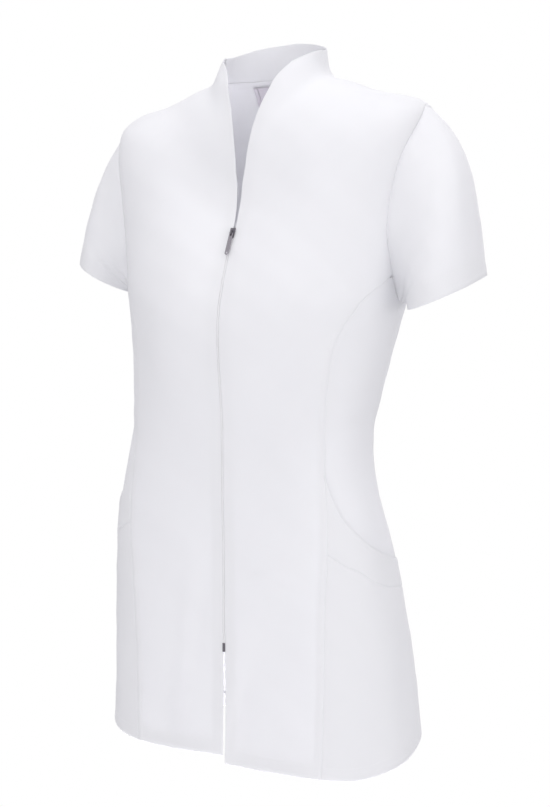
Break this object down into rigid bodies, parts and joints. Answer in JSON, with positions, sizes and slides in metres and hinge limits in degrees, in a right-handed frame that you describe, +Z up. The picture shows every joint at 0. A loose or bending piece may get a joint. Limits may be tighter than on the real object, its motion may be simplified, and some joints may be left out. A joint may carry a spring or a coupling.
{
  "type": "work jacket",
  "caption": "Short-sleeved zip-front tunic jacket in white woven cloth, filled out with no wearer, with a raised open collar, princess seams, scooped side pockets and a curved hem.",
  "frame": {"origin": "middle of the neck, level with the high points of the shoulder seams, where the wearer's shoulders hold the garment up", "axes": "+Z up along the standing body, -Y out of the zip front, +X to the wearer's left"},
  "size_m": [0.4652, 0.2226, 0.7551],
  "materials": {
    "white_cloth": "fine plain weave, smooth and matt",
    "bare_label": "woven, bare",
    "zip_tape": "woven tape",
    "zip_metal": "plated, softly polished"
  },
  "bodies": {
    "jacket": {"front_left": "white_cloth", "front_right": "white_cloth", "side_left": "white_cloth", "side_right": "white_cloth", "pocket_left": "white_cloth", "pocket_right": "white_cloth", "back": "white_cloth", "collar_back": "white_cloth", "sleeve_left": "white_cloth", "sleeve_right": "white_cloth", "label": "bare_label", "zip_tape_left": "zip_tape", "zip_tape_right": "zip_tape", "zip_slider": "zip_metal", "zip_bottom_stop": "zip_metal"},
    "pull_tab": {"zip_pull_tab": "zip_metal"}
  },
  "joints": [
    {"name": "pull_tab_lift", "type": "hinge", "parent": "jacket", "child": "pull_tab", "pos_m": [0.00001, -0.101, -0.16228], "axis": [-1, 0, 0], "range_deg": [0, 135]}
  ]
}
